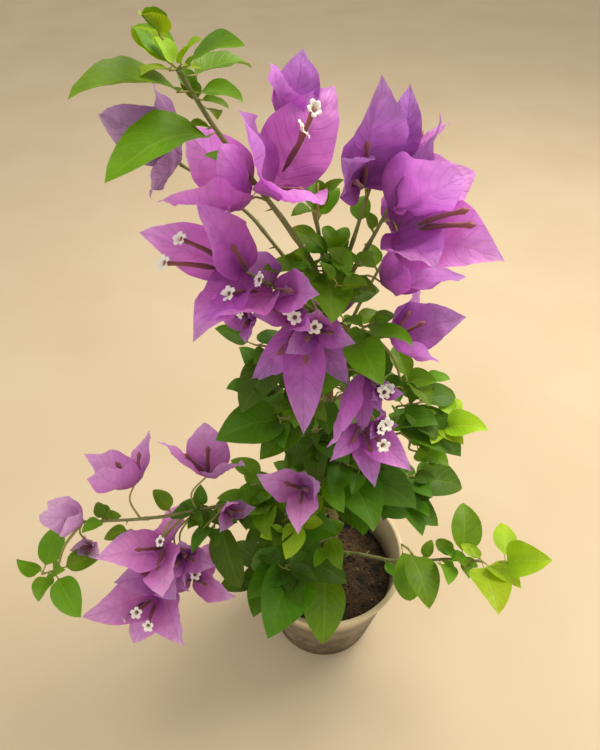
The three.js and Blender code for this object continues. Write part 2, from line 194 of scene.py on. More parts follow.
# Each leaf mass: its leaves from the top of its shoot down, its shoot (azimuth, elevation, half length),
# the number of smaller leaves filled in by rule, and the age of its leaves.
LEAF_MASSES = {
    "shoot_tip_leaves": (((250, 45, 21), (145, 10, 20), (335, 20, 16), (235, -15, 18)),
                         (150, 70, 4), 2, "young"),
    "shoot_left_leaves": (((225, 20, 52), (235, -10, 50)), (150, 63, 9), 0, "fresh"),
    "shoot_right_leaves": (((330, 30, 28), (40, -5, 27), (320, -10, 25), (65, -60, 24)),
                           (150, 63, 10), 2, "fresh"),
    "fork_leaves": (((105, 40, 18), (60, 35, 19), (325, 20, 17), (230, -10, 18), (270, -20, 34),
                     (175, -10, 34)), (300, 80, 7), 10, "fresh"),
    "right_fork_leaves": (((25, 10, 18), (235, 0, 16), (325, 5, 28), (280, -15, 34)),
                          (320, 50, 7), 3, "fresh"),
    "upper_left_leaves": (((175, 20, 29), (240, -5, 14), (250, -30, 38)), (210, 30, 8), 4, "mature"),
    "middle_left_leaves": (((130, 0, 26), (205, 10, 44), (240, -10, 30)), (210, 30, 8), 4, "mature"),
    "middle_leaves": (((205, 20, 22), (30, 5, 24), (275, -25, 30), (315, -5, 28)),
                      (280, 60, 10), 8, "mature"),
    "middle_right_leaves": (((55, 30, 20), (20, 0, 30), (300, -10, 27), (315, -20, 41)),
                            (330, 40, 10), 4, "mature"),
    "back_upper_leaves": (((60, 20, 38), (110, -10, 40), (150, 25, 36), (95, 50, 34), (30, -5, 36)),
                          (90, 50, 14), 9, "mature"),
    "back_lower_leaves": (((95, 0, 46), (50, 20, 42), (140, 10, 44), (20, -10, 38), (165, -15, 40)),
                          (90, 60, 20), 10, "mature"),
    "lower_left_leaves": (((225, 20, 20), (260, -5, 30), (225, 10, 32), (140, -5, 26)),
                          (215, 30, 10), 7, "fresh"),
    "lower_leaves": (((145, 5, 32), (25, 0, 34), (330, -10, 45), (285, 0, 44), (230, 0, 30)),
                     (300, 50, 14), 10, "mature"),
    "lower_right_leaves": (((25, -5, 24), (0, -15, 44), (315, 15, 26), (285, -15, 38)),
                           (350, 40, 9), 4, "mature"),
    "foot_left_leaves": (((320, 15, 24), (165, -25, 32), (280, 5, 36), (250, 0, 52), (225, 0, 38)),
                         (240, 40, 12), 9, "mature"),
    "foot_front_leaf": (((268, -28, 54),), (268, -10, 2), 0, "fresh"),
    "foot_right_leaf": (((285, -10, 44), (275, -50, 40)), (320, 10, 3), 0, "fresh"),
    "right_shoot_leaves": (((95, 5, 20), (50, 15, 18), (325, 25, 26), (290, 5, 18), (235, 5, 20)),
                           (350, 45, 6), 2, "young"),
    "right_spray_leaves": (((65, 20, 38), (110, -25, 16), (315, 25, 16), (260, 10, 26)),
                           (330, 25, 10), 3, "fresh"),
    "right_spray_end_leaves": (((70, 5, 30), (330, 45, 42), (295, 20, 26), (255, 10, 40), (125, -15, 20)),
                               (340, 30, 8), 2, "young"),
    "spray_inner_leaves": (((65, 5, 22), (245, 15, 28), (301, -56, 46)), (250, 0, 5), 3, "mature"),
    "spray_end_leaves": (((90, 5, 27), (185, 50, 20), (270, 10, 19), (315, -25, 30), (35, -25, 30)),
                         (210, 10, 4), 1, "fresh"),
}


# ------------------------------------------------------------------ sizes and colours a user would change
def linear(code):
    """A linear RGBA colour from an sRGB hex code."""
    parts = [int(code[i:i + 2], 16) / 255 for i in (1, 3, 5)]
    return tuple(c / 12.92 if c <= 0.04045 else ((c + 0.055) / 1.055) ** 2.4 for c in parts) + (1.0,)


def length_property(name, description, default):
    return FloatProperty(name=name, description=description, default=default, unit="LENGTH", precision=5)


def share_property(name, description, default):
    return FloatProperty(name=name, description=description, default=default, subtype="FACTOR", max=1.0)


def colour_property(name, description, code):
    return FloatVectorProperty(
        name=name, description=description, default=linear(code)[:3], subtype="COLOR", min=0.0, max=1.0)


class PlantSizes(bpy.types.PropertyGroup):
    """Sizes of the small parts that the frame leaves open."""

    leaf_width: share_property("Leaf width", "Leaf width over its length", 0.66)
    bract_width: share_property("Bract width", "Bract width over its length", 0.68)
    stalk_radius: length_property("Stalk radius", "Radius of a leaf stalk", 0.00045)
    tube_radius: length_property("Flower tube radius", "Radius of a tube flower", 0.0012)
    star_radius: length_property("Flower star radius", "Radius of an open flower", 0.004)
    thorn: length_property("Thorn length", "Length of a thorn on the stem", 0.0045)
    crumbs: IntProperty(name="Soil crumbs", description="Number of crumbs on the soil", default=1100)


class PlantColours(bpy.types.PropertyGroup):
    """Main colours of the plant and its pot."""

    bract: colour_property("Bract", "Middle of a bright bract", "#CA70CE")
    leaf: colour_property("Leaf", "Middle of a mature leaf", "#467202")
    pot: colour_property("Pot", "Plastic of the pot", "#E3D1AB")


# ------------------------------------------------------------------ small helpers
def heading(azimuth, elevation):
    """A unit direction from an azimuth and an elevation in degrees."""
    az, el = math.radians(azimuth), math.radians(elevation)
    return Vector((math.cos(el) * math.cos(az), math.cos(el) * math.sin(az), math.sin(el)))


def square_to(direction, axis):
    """The part of a direction that is square to the axis, as a unit vector."""
    flat = direction - axis * direction.dot(axis)
    return flat.normalized() if flat.length > 1e-6 else axis.orthogonal().normalized()


def smooth_route(points, spacing):
    """Points every few millimetres along a Catmull-Rom curve through the given ones."""
    points = [Vector(p) for p in points]
    ends = [points[0] * 2 - points[1], *points, points[-1] * 2 - points[-2]]
    route = []
    for a, b, c, d in zip(ends, ends[1:], ends[2:], ends[3:]):
        steps = max(1, round((c - b).length / spacing))
        for k in range(steps):
            t = k / steps
            route.append(0.5 * (2 * b + (c - a) * t + (2 * a - 5 * b + 4 * c - d) * t * t
                                + (3 * b - a - 3 * c + d) * t * t * t))
    return [*route, points[-1]]


def finish_piece(name, bm, material, replaced=(), smooth=True, outward=True):
    """Makes a joined piece in metres from a bmesh in millimetres, and gives it its body and finish."""
    if outward:
        bmesh.ops.recalc_face_normals(bm, faces=bm.faces)
    bmesh.ops.scale(bm, vec=(MM, MM, MM), verts=bm.verts)
    mesh = bpy.data.meshes.new(name)
    bm.to_mesh(mesh)
    bm.free()
    if smooth:
        mesh.polygons.foreach_set("use_smooth", [True] * len(mesh.polygons))
    mesh.materials.append(material)
    piece = bpy.data.objects.new(name, mesh)
    bpy.context.scene.collection.objects.link(piece)
    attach(piece, BODY)
    if replaced:
        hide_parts(*replaced)


# ------------------------------------------------------------------ reading the frame
def node_points(name):
    """The corners of a frame solid, in millimetres."""
    return [v.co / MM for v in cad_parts[name].data.vertices]


def centreline(name, stations=14):
    """Centres and radii of a limb, from cuts square to its chord, foot first."""
    spots = np.array([tuple(p) for p in node_points(name)])
    middle = spots.mean(axis=0)
    chord = Vector(np.linalg.svd(spots - middle, full_matrices=False)[2][0])
    along = [(Vector(p) - Vector(middle)).dot(chord) for p in spots]
    low, high = min(along), max(along)
    base = bmesh.new()
    base.from_mesh(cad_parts[name].data)
    bmesh.ops.scale(base, vec=(1 / MM,) * 3, verts=base.verts)
    bmesh.ops.remove_doubles(base, verts=base.verts, dist=1e-3)
    centres, radii = [], []
    for k in range(stations):
        # From 3 to 97 percent of its length, so that a cut doesn't graze an end.
        share = 0.03 + 0.94 * k / (stations - 1)
        origin = Vector(middle) + chord * (low + (high - low) * share)
        cut = base.copy()
        found = bmesh.ops.bisect_plane(
            cut, geom=[*cut.verts, *cut.edges, *cut.faces], plane_co=origin, plane_no=chord)["geom_cut"]
        ring = [v.co.copy() for v in found if isinstance(v, bmesh.types.BMVert)]
        cut.free()
        if len(ring) < 3:
            continue
        centre = sum(ring, Vector()) / len(ring)
        centres.append(centre)
        radii.append(sum((p - centre).length for p in ring) / len(ring))
    base.free()
    return centres, radii


def nearest_on(point, route):
    """Index and point of a route nearest to a point."""
    index = min(range(len(route)), key=lambda i: (route[i] - point).length_squared)
    return index, route[index]


def middle_way(aims):
    """The direction between all of a bloom's bracts."""
    return sum((heading(azimuth, elevation) for azimuth, elevation, _ in aims), Vector()).normalized()


def hub_of(name, aims):
    """Where a mass's blades meet: each tip taken back along its own aim, and the middle of those."""
    spots = node_points(name)
    starts = []
    for azimuth, elevation, length in aims:
        way = heading(azimuth, elevation)
        starts.append(max(spots, key=way.dot) - way * length)
    return Vector([sorted(values)[len(values) // 2] for values in zip(*starts)])


def read_limbs():
    """Centreline and radii of every limb, foot first, each joined to its parent."""
    stem, stem_radii = centreline("main_stem", 30)
    if stem[0].z > stem[-1].z:
        stem.reverse()
        stem_radii.reverse()
    limbs = {"main_stem": (stem, stem_radii)}
    for name in LIMBS:
        parent = limbs["arching_bough" if name == "arching_bough_end" else "main_stem"][0]
        line, radii = centreline(name)
        ends = [nearest_on(line[0], parent)[1], nearest_on(line[-1], parent)[1]]
        if (line[0] - ends[0]).length > (line[-1] - ends[1]).length:
            line.reverse()
            radii.reverse()
        if name == "arching_bough_end":
            start = parent[-1]
        else:
            start = nearest_on(line[0] - (line[1] - line[0]).normalized() * 5, parent)[1]
        limbs[name] = ([start, *line], [radii[0], *radii])
    return limbs


# ------------------------------------------------------------------ shapes
def first_ring(bm, sides):
    """The corners of a new filled circle, in order round it."""
    verts = bmesh.ops.create_circle(bm, cap_ends=True, segments=sides, radius=1.0)["verts"]
    return sorted(verts, key=lambda v: math.atan2(v.co.y, v.co.x))


def ring_edges(bm, ring):
    return [bm.edges.get(pair) for pair in zip(ring, [*ring[1:], ring[0]])]


def next_ring(bm, ring):
    """Extrudes a ring once and gives its new corners, in the same order, and the new faces."""
    made = bmesh.ops.extrude_edge_only(bm, edges=ring_edges(bm, ring))["geom"]
    fresh = {g for g in made if isinstance(g, bmesh.types.BMVert)}
    corners = [next(e.other_vert(v) for e in v.link_edges if e.other_vert(v) in fresh) for v in ring]
    return corners, [g for g in made if isinstance(g, bmesh.types.BMFace)]


def close_ring(bm, ring):
    bmesh.ops.contextual_create(bm, geom=ring_edges(bm, ring))


def tube(bm, points, radii, sides, relief=None):
    """A round limb through the points: a circle extruded from ring to ring, with its own UVs."""
    uv = bm.loops.layers.uv.verify()
    ways = [(b - a).normalized() for a, b in zip(points, points[1:])]
    ways = [ways[0], *[(a + b).normalized() for a, b in zip(ways, ways[1:])], ways[-1]]
    across = ways[0].orthogonal().normalized()
    ring = first_ring(bm, sides)
    angles = [FULL_TURN * k / sides for k in range(sides)]
    length = 0.0

    def place(verts, step):
        nonlocal across
        across = square_to(across, ways[step])
        other = ways[step].cross(across)
        for vert, angle in zip(verts, angles):
            out = across * math.cos(angle) + other * math.sin(angle)
            swell = relief(points[step], out, length) if relief else 0.0
            vert.co = points[step] + out * (radii[step] + swell)

    place(ring, 0)
    for step in range(1, len(points)):
        ring_next, faces = next_ring(bm, ring)
        was = length
        length += (points[step] - points[step - 1]).length
        place(ring_next, step)
        order = {v: k for k, v in enumerate(ring)}
        order_next = {v: k for k, v in enumerate(ring_next)}
        for face in faces:
            marks = [order.get(v, order_next.get(v)) for v in face.verts]
            wraps = max(marks) - min(marks) > 1
            for loop, mark in zip(face.loops, marks):
                turn = sides if wraps and mark == 0 else mark
                loop[uv].uv = (turn / sides, (was if loop.vert in order else length) / 10)
        ring = ring_next
    close_ring(bm, ring)


def keyed(values, t):
    """A smooth value between evenly spaced keys."""
    place = min(t, 0.9999) * (len(values) - 1)
    k = int(place)
    share = place - k
    share = share * share * (3 - 2 * share)
    return values[k] * (1 - share) + values[k + 1] * share


def bent_path(bends, rows):
    """Forward and outward steps of a path that turns by the keyed angles, with its chord straight ahead."""
    x, z, path = 0.0, 0.0, [(0.0, 0.0)]
    for row in range(rows):
        angle = keyed(bends, (row + 0.5) / rows)
        x += math.cos(angle) / rows
        z += math.sin(angle) / rows
        path.append((x, z))
    turn, size = math.atan2(z, x), math.hypot(x, z)
    return [((x * math.cos(turn) + z * math.sin(turn)) / size,
             (z * math.cos(turn) - x * math.sin(turn)) / size) for x, z in path]


def blade(bm, base, forward, upper, length, width, shape, rng, tint):
    """A leaf or bract from a grid: an outline, bent along its length, folded and cupped across it."""
    uv = bm.loops.layers.uv.verify()
    shade = bm.verts.layers.float.get("tint") or bm.verts.layers.float.new("tint")
    columns, rows = shape["grid"]
    made = bmesh.ops.create_grid(bm, x_segments=columns, y_segments=rows, size=1.0)["verts"]
    normal = square_to(upper, forward)
    side = forward.cross(normal)
    path = bent_path([b + rng.uniform(-1, 1) * shape["spread"] for b in shape["bends"]], rows)
    rise, fall = shape["outline"]
    peak = rise / (rise + fall)
    top = peak ** rise * (1 - peak) ** fall
    phase, twist = rng.uniform(0, ANY_PHASE), rng.uniform(-1, 1) * shape["twist"]
    lean = rng.uniform(-1, 1) * shape["lean"]
    uneven = rng.uniform(-0.12, 0.12)
    marks = {}
    for vert in made:
        # s runs from -1 to 1 across the blade and t from 0 to 1 along it.
        s, t = vert.co.x, (vert.co.y + 1) / 2
        marks[vert] = ((s + 1) / 2, t)
        ahead, out = path[round(t * rows)]
        half = width / 2 * (t ** rise * (1 - t) ** fall / top if 0 < t < 1 else 0.0)
        half *= 1 + uneven * s
        cup = keyed(shape["cup"], t)
        arc = cup * abs(s)
        reach = half * (math.sin(arc) / cup if cup > 1e-3 else abs(s))
        lift = half * ((1 - math.cos(arc)) / cup if cup > 1e-3 else 0.0) + shape["fold"] * half * abs(s)
        ripple = phase + shape["waves"] * ANY_PHASE * t + 0.9 * (s > 0)
        wave = shape["wave"] * half * s * s * math.sin(ripple)
        turn = twist * (t - 0.3)
        across = side * math.cos(turn) + normal * math.sin(turn)
        above = normal * math.cos(turn) - side * math.sin(turn)
        spot = base + forward * (ahead * length) + above * (out * length + lift + wave)
        spot += across * (math.copysign(reach, s) + lean * length * t * t)
        crease = noise.noise(spot * 0.14 + Vector((phase, 0, 0))) * shape["crease"]
        wrinkle = noise.noise(spot * 0.42 + Vector((0, phase, 0))) * shape["wrinkle"]
        vert.co = spot + above * (crease + wrinkle) * min(1.0, 5 * t)
        vert[shade] = tint
    for face in {f for v in made for f in v.link_faces}:
        for loop in face.loops:
            loop[uv].uv = marks[loop.vert]
    bmesh.ops.remove_doubles(bm, verts=made, dist=0.01)


# A blade's shape: its grid, the powers of its outline towards base and tip, the angles it bends through,
# how it is cupped and folded, the depth and number of its edge waves, how far one blade may differ from the
# next, and the millimetres that it is creased and wrinkled.
BRACT_SHAPE = {
    "grid": (14, 24), "outline": (0.6, 1.15), "bends": [-0.45, 0.0, 0.25, 0.05, -0.35],
    "spread": 0.16, "cup": [0.9, 0.6, 0.45, 0.35, 0.5], "fold": 0.1, "wave": 0.15, "waves": 1.9,
    "twist": 0.35, "lean": 0.09, "crease": 1.9, "wrinkle": 0.85,
}
LEAF_SHAPE = {
    "grid": (6, 12), "outline": (0.52, 0.88), "bends": [0.35, 0.15, -0.05, -0.25, -0.6],
    "spread": 0.12, "cup": [0.5, 0.35, 0.25, 0.3, 0.5], "fold": 0.2, "wave": 0.08, "waves": 1.2,
    "twist": 0.45, "lean": 0.09, "crease": 0.9, "wrinkle": 0.15,
}


# ------------------------------------------------------------------ materials
# A pattern's scale on Object coordinates is how many of its grains fit in a metre: 160 is one every 6 mm.
MULTIPLY, MULTIPLY_ADD, ADD, SUBTRACT, ABSOLUTE, FRACT, MAXIMUM = (
    {"operation": name}
    for name in ("MULTIPLY", "MULTIPLY_ADD", "ADD", "SUBTRACT", "ABSOLUTE", "FRACT", "MAXIMUM"))
EASED = {"interpolation_type": "SMOOTHSTEP"}
COLOURS = {"data_type": "RGBA"}


def add(tree, kind, sets=None, stops=None, **inputs):
    """Adds a node with its own settings, its ramp stops, and its inputs: values, sockets, or nodes, each of
    which stands for its first output."""
    node = tree.nodes.new("ShaderNode" + kind)
    for name, value in (sets or {}).items():
        setattr(node, name, value)
    if stops:
        ramp = node.color_ramp
        while len(ramp.elements) < len(stops):
            ramp.elements.new(0.5)
        for element, (place, colour) in zip(ramp.elements, stops):
            element.position = place
            element.color = colour
    for name, value in inputs.items():
        socket = node.inputs[int(name[1:]) if name[1:].isdigit() else name.replace("_", " ")]
        if isinstance(value, bpy.types.Node):
            value = value.outputs[0]
        if isinstance(value, bpy.types.NodeSocket):
            tree.links.new(value, socket)
        else:
            socket.default_value = value
    return node


def new_material(name):
    material = bpy.data.materials.new(name)
    material.use_nodes = True
    material.node_tree.nodes.clear()
    return material, material.node_tree


def vein_mask(tree, u, v, pairs, rise):
    """1 on the midrib and the side veins of a blade, 0 between them, from its own UVs."""
    off = add(tree, "Math", ABSOLUTE, i0=add(tree, "Math", MULTIPLY_ADD, i0=u, i1=2.0, i2=-1.0))
    midrib = add(tree, "MapRange", EASED, Value=off, From_Min=0.02, From_Max=0.085, To_Min=1.0, To_Max=0.0)
    slant = add(tree, "Math", MULTIPLY_ADD, i0=off, i1=-rise, i2=v)
    saw = add(tree, "Math", FRACT, i0=add(tree, "Math", MULTIPLY, i0=slant, i1=pairs))
    from_vein = add(tree, "Math", ABSOLUTE, i0=add(tree, "Math", SUBTRACT, i0=saw, i1=0.5))
    side = add(tree, "MapRange", EASED, Value=from_vein, From_Min=0.0, From_Max=0.13, To_Min=0.7,
               To_Max=0.0)
    return add(tree, "Math", MAXIMUM, i0=midrib, i1=side)


def blade_material(name, base, middle, tip, vein, glow, finish):
    """A living bract or leaf: a soft skin over a thin translucent sheet, with veins along its own UVs."""
    material, tree = new_material(name)
    axes = add(tree, "SeparateXYZ", Vector=add(tree, "UVMap"))
    place = add(tree, "TexCoord").outputs["Object"]
    # Mottling a few millimetres across, as thin tissue has between its veins.
    mottle = add(tree, "TexNoise", Vector=place, Scale=160.0, Detail=3.0, Roughness=0.6)
    wander = add(tree, "TexNoise", Vector=place, Scale=90.0, Detail=1.0)
    v_bent = add(tree, "Math", MULTIPLY_ADD, i0=wander, i1=0.12, i2=axes.outputs[1])
    veins = vein_mask(tree, axes.outputs[0], v_bent, finish["pairs"], finish["rise"])
    along = add(tree, "ValToRGB", stops=[(0.0, base), (0.45, middle), (1.0, tip)], Fac=axes.outputs[1])
    # Each blade has its own tint, 0 to 1: it makes the blade darker or lighter and turns its hue a little.
    tint = add(tree, "Attribute", {"attribute_name": "tint"}).outputs["Fac"]
    lightness = add(tree, "Math", MULTIPLY_ADD, i0=tint, i1=0.5, i2=0.75)
    spread = add(tree, "Math", MULTIPLY_ADD, i0=mottle, i1=0.5, i2=-0.25)
    value = add(tree, "Math", ADD, i0=lightness, i1=spread)
    hue = add(tree, "Math", MULTIPLY_ADD, i0=tint, i1=finish["hue"], i2=0.5 - finish["hue"] / 2)
    skin = add(tree, "HueSaturation", Hue=hue, Saturation=1.0, Value=value, Color=along)
    share = add(tree, "Math", MULTIPLY, i0=veins, i1=finish["vein_share"])
    coloured = add(tree, "Mix", COLOURS, i0=share, i6=skin, i7=vein).outputs[2]
    height = add(tree, "Math", MULTIPLY_ADD, i0=veins, i1=finish["vein_depth"], i2=mottle)
    relief = add(tree, "Bump", Strength=finish["relief"], Distance=0.0006, Height=height)
    shell = add(tree, "BsdfPrincipled", Base_Color=coloured, Roughness=finish["roughness"],
                IOR=finish["ior"], Sheen_Weight=finish["sheen"], Sheen_Roughness=0.4, Normal=relief)
    filtered = add(tree, "Mix", {**COLOURS, "blend_type": "MULTIPLY"}, i0=1.0, i6=coloured, i7=glow)
    through = add(tree, "BsdfTranslucent", Color=filtered.outputs[2], Normal=relief)
    add(tree, "OutputMaterial", Surface=add(tree, "MixShader", i0=finish["thin"], i1=shell, i2=through))
    return material


# A blade's finish: its side veins in pairs, how steeply they rise and how much they colour and dent it, its
# relief and gloss, the share of light that goes through it, and how far its hue may turn.
BRACT_FINISH = {"pairs": 9.0, "rise": 0.22, "vein_share": 0.13, "vein_depth": -0.45, "relief": 0.9,
                "roughness": 0.55, "ior": 1.4, "sheen": 0.25, "thin": 0.42, "hue": 0.03}
LEAF_FINISH = {"pairs": 8.0, "rise": 0.3, "vein_share": 0.28, "vein_depth": -0.8, "relief": 0.4,
               "roughness": 0.5, "ior": 1.42, "sheen": 0.0, "thin": 0.25, "hue": 0.03}


def bract_material(kind):
    """Bougainvillea bract: papery and matt, so light shows through it and its veins read darker."""
    base, middle, tip, vein = (linear(code) for code in {
        "bright": ("#963F90", "#CA70CE", "#DCA0E6", "#A04EA4"),
        "pale": ("#A24E9A", "#CE84CF", "#E0AEE6", "#A65AA6"),
        "lilac": ("#B878B4", "#D8A4D8", "#E6C2E8", "#B47CB4"),
        # The shaded kind is painted shade: darker, duller bright-bract colours for a bloom that stands in
        # shade.
        "faded": ("#7E5080", "#9C6E9C", "#BE98C0", "#784C78"),
    }[kind])
    if kind == "bright":
        middle = (*bpy.context.scene.plant_colours.bract, 1.0)
    return blade_material(f"bract_{kind}", base, middle, tip, vein, (1.15, 1.1, 1.3, 1.0), BRACT_FINISH)


def leaf_material(kind):
    """Bougainvillea leaf: a smooth waxy skin with paler veins, thinner and yellower when young."""
    base, middle, tip, vein = (linear(code) for code in {
        "mature": ("#527A04", "#467202", "#507A02", "#769A28"),
        "fresh": ("#6E9A08", "#608F06", "#6C990A", "#93B838"),
        "young": ("#98BA18", "#96BC14", "#AAC822", "#C0D658"),
    }[kind])
    if kind == "mature":
        middle = (*bpy.context.scene.plant_colours.leaf, 1.0)
    return blade_material(f"leaf_{kind}", base, middle, tip, vein, (1.5, 1.4, 0.5, 1.0), LEAF_FINISH)


def stalk_material(name, low, high, roughness, bump, scale):
    """Stem skin: fine lengthwise streaks and small raised pores, from green twig to corky bark."""
    material, tree = new_material(name)
    streaks = add(tree, "Mapping", Vector=add(tree, "UVMap"), Scale=(9.0, 2.2, 1.0))
    grain = add(tree, "TexNoise", Vector=streaks, Scale=3.0, Detail=6.0, Roughness=0.65)
    place = add(tree, "TexCoord").outputs["Object"]
    pores = add(tree, "TexVoronoi", {"feature": "DISTANCE_TO_EDGE"}, Vector=place, Scale=scale)
    patches = add(tree, "TexNoise", Vector=place, Scale=scale / 5, Detail=4.0)
    faint_grain = add(tree, "Math", MULTIPLY, i0=grain, i1=0.5)
    mixed = add(tree, "Math", MULTIPLY_ADD, i0=patches, i1=0.6, i2=faint_grain)
    colour = add(tree, "ValToRGB", stops=[(0.3, linear(low)), (0.75, linear(high))], Fac=mixed)
    height = add(tree, "Math", ADD, i0=grain, i1=pores)
    relief = add(tree, "Bump", Strength=bump, Distance=0.0005, Height=height)
    shell = add(tree, "BsdfPrincipled", Base_Color=colour, Roughness=roughness, IOR=1.45, Normal=relief)
    add(tree, "OutputMaterial", Surface=shell)
    return material


def flower_material(name, low, high, ramp_to):
    """Flower tube or star: a matt velvety skin that changes colour along its length."""
    material, tree = new_material(name)
    axes = add(tree, "SeparateXYZ", Vector=add(tree, "UVMap"))
    place = add(tree, "TexCoord").outputs["Object"]
    mottle = add(tree, "TexNoise", Vector=place, Scale=900.0, Detail=2.0)
    along = add(tree, "Math", MULTIPLY_ADD, i0=axes.outputs[1], i1=ramp_to, i2=-0.25)
    shade = add(tree, "Math", MULTIPLY_ADD, i0=mottle, i1=0.5, i2=along)
    colour = add(tree, "ValToRGB", stops=[(0.1, linear(low)), (0.9, linear(high))], Fac=shade)
    relief = add(tree, "Bump", Strength=0.3, Distance=0.0002, Height=mottle)
    shell = add(tree, "BsdfPrincipled", Base_Color=colour, Roughness=0.6, Sheen_Weight=0.3, Normal=relief)
    add(tree, "OutputMaterial", Surface=shell)
    return material


def pot_material():
    """Thin polypropylene nursery pot: satin, faintly mould-flowed, with soil dust low on its wall, and
    painted shade over its lower wall, partly in the dust's dark colour.
    """
    material, tree = new_material("polypropylene_pot")
    place = add(tree, "TexCoord").outputs["Object"]
    height = add(tree, "SeparateXYZ", Vector=place).outputs[2]
    stretched = add(tree, "Mapping", Vector=place, Scale=(1.0, 1.0, 0.25))
    flow = add(tree, "TexNoise", Vector=stretched, Scale=55.0, Detail=4.0)
    dust = add(tree, "TexNoise", Vector=place, Scale=70.0, Detail=7.0, Roughness=0.7)
    low_down = add(tree, "MapRange", Value=height, From_Min=0.0, From_Max=0.09, To_Min=0.75, To_Max=0.12)
    settled = add(tree, "Math", MULTIPLY, i0=dust, i1=low_down)
    dust_and_shade = add(tree, "MapRange", EASED, Value=settled, From_Min=0.16, From_Max=0.42, To_Min=0.0,
               To_Max=0.75)
    pot = (*bpy.context.scene.plant_colours.pot, 1.0)
    plastic = add(tree, "Mix", COLOURS, i0=flow, i6=linear("#D2BC92"), i7=pot).outputs[2]
    # Painted shade: the thin wall is darkened, in patches, below a band 66 to 90 mm up.
    painted_shade_band = add(tree, "MapRange", EASED, Value=height, From_Min=0.066, From_Max=0.09, To_Min=1.0,
                 To_Max=0.0)
    patchy = add(tree, "MapRange", Value=dust, From_Min=0.3, From_Max=0.7, To_Min=0.7, To_Max=0.95)
    shadow = add(tree, "Math", MULTIPLY, i0=painted_shade_band, i1=patchy)
    wall = add(tree, "Mix", COLOURS, i0=shadow, i6=plastic, i7=linear("#33261A")).outputs[2]
    # Soil dust low on the wall; its dark colour also paints shade there.
    colour = add(tree, "Mix", COLOURS, i0=dust_and_shade, i6=wall, i7=linear("#4E3C28")).outputs[2]
    rough = add(tree, "MapRange", Value=dust_and_shade, From_Min=0.0, From_Max=0.75, To_Min=0.38, To_Max=0.8)
    relief = add(tree, "Bump", Strength=0.12, Distance=0.0005, Height=dust)
    shell = add(tree, "BsdfPrincipled", Base_Color=colour, Roughness=rough, IOR=1.49, Normal=relief)
    add(tree, "OutputMaterial", Surface=shell)
    return material


def soil_material(name, dark, light):
    """Moist peat mix: dark, matt and crumbly, with paler fibres."""
    material, tree = new_material(name)
    place = add(tree, "TexCoord").outputs["Object"]
    crumb = add(tree, "TexNoise", Vector=place, Scale=420.0, Detail=8.0, Roughness=0.75)
    patch = add(tree, "TexNoise", Vector=place, Scale=90.0, Detail=3.0)
    mixed = add(tree, "Math", MULTIPLY, i0=crumb, i1=patch)
    colour = add(tree, "ValToRGB", stops=[(0.16, linear(dark)), (0.42, linear(light))], Fac=mixed)
    relief = add(tree, "Bump", Strength=0.8, Distance=0.0012, Height=crumb)
    shell = add(tree, "BsdfPrincipled", Base_Color=colour, Roughness=0.92, Normal=relief)
    add(tree, "OutputMaterial", Surface=shell)
    return material


def floor_material():
    """Matt studio board, pale and warm."""
    material, tree = new_material("studio_board")
    place = add(tree, "TexCoord").outputs["Object"]
    grain = add(tree, "TexNoise", Vector=place, Scale=6.0, Detail=3.0)
    colour = add(tree, "ValToRGB", stops=[(0.3, linear("#D0BC9A")), (0.7, linear("#D6C4A4"))], Fac=grain)
    add(tree, "OutputMaterial", Surface=add(tree, "BsdfPrincipled", Base_Color=colour, Roughness=0.9))
    return material


# ------------------------------------------------------------------ limbs and stalks
JOINT_SPACING = 26


def bark_relief(seed, depth):
    """Swelling of a stem at its leaf joints, with shallow lengthwise ridges and corky lumps."""
    def relief(point, out, length):
        joint = math.exp(-((length % JOINT_SPACING) - JOINT_SPACING / 2) ** 2 / 7.0)
        ridge = noise.noise(Vector((out.x * 2.2, out.y * 2.2, length * 0.05 + seed)))
        lump = noise.noise((point + out * 3) * 0.55)
        return depth * (0.9 * joint + 0.5 * ridge + 0.35 * lump)
    return relief


def limb_piece(name, limbs, depth, sides, material):
    """The named limbs as one piece of bark, with relief of this depth."""
    bm = bmesh.new()
    for number, limb in enumerate(limbs):
        line, radii = Growth.limbs[limb]
        route = smooth_route(line, 2.6)
        sizes = [keyed(radii, k / (len(route) - 1)) for k in range(len(route))]
        tube(bm, route, sizes, sides, bark_relief(7.0 * number, depth))
    finish_piece(name, bm, material, limbs)


def arched(start, end, rise, leave=None):
    """A stalk's route from start to end that leaves along a direction and arches on the way."""
    span = end - start
    middle = start + span * 0.5 + Vector((0, 0, rise * span.length))
    if leave is not None:
        middle += leave * (0.18 * span.length)
    return smooth_route([start, middle, end], 3.0)


def tapered(count, first, last):
    """Evenly stepped values from the first to the last."""
    return [first + (last - first) * k / max(1, count - 1) for k in range(count)]


def nearest_limb(point, below=True):
    """The point on any limb nearest to a point, preferring limbs below it, and the limb's way there."""
    best = None
    for line, _ in Growth.limbs.values():
        for k, spot in enumerate(line[2:], 2):
            cost = (spot - point).length + (max(0.0, spot.z - point.z) * 0.7 if below else 0)
            if best is None or cost < best[0]:
                way = (line[min(k + 1, len(line) - 1)] - line[k - 1]).normalized()
                best = (cost, spot, way)
    return best[1], best[2]


class Growth:
    """What the operators share: the limbs read from the frame, and the joined pieces as they grow."""

    limbs = {}
    routes = {}
    bracts = None
    bmeshes = {}

    @classmethod
    def joined(cls, name):
        if name not in cls.bmeshes:
            cls.bmeshes[name] = bmesh.new()
        return cls.bmeshes[name]


def stalk(start, end, radius, rise, leave=None):
    """A thin green stalk, a quarter thinner at its end."""
    route = arched(start, end, rise, leave)
    tube(Growth.joined("stalks"), route, tapered(len(route), radius, radius * 0.75), 6)


# ------------------------------------------------------------------ blooms
FULL_BRACT = 46


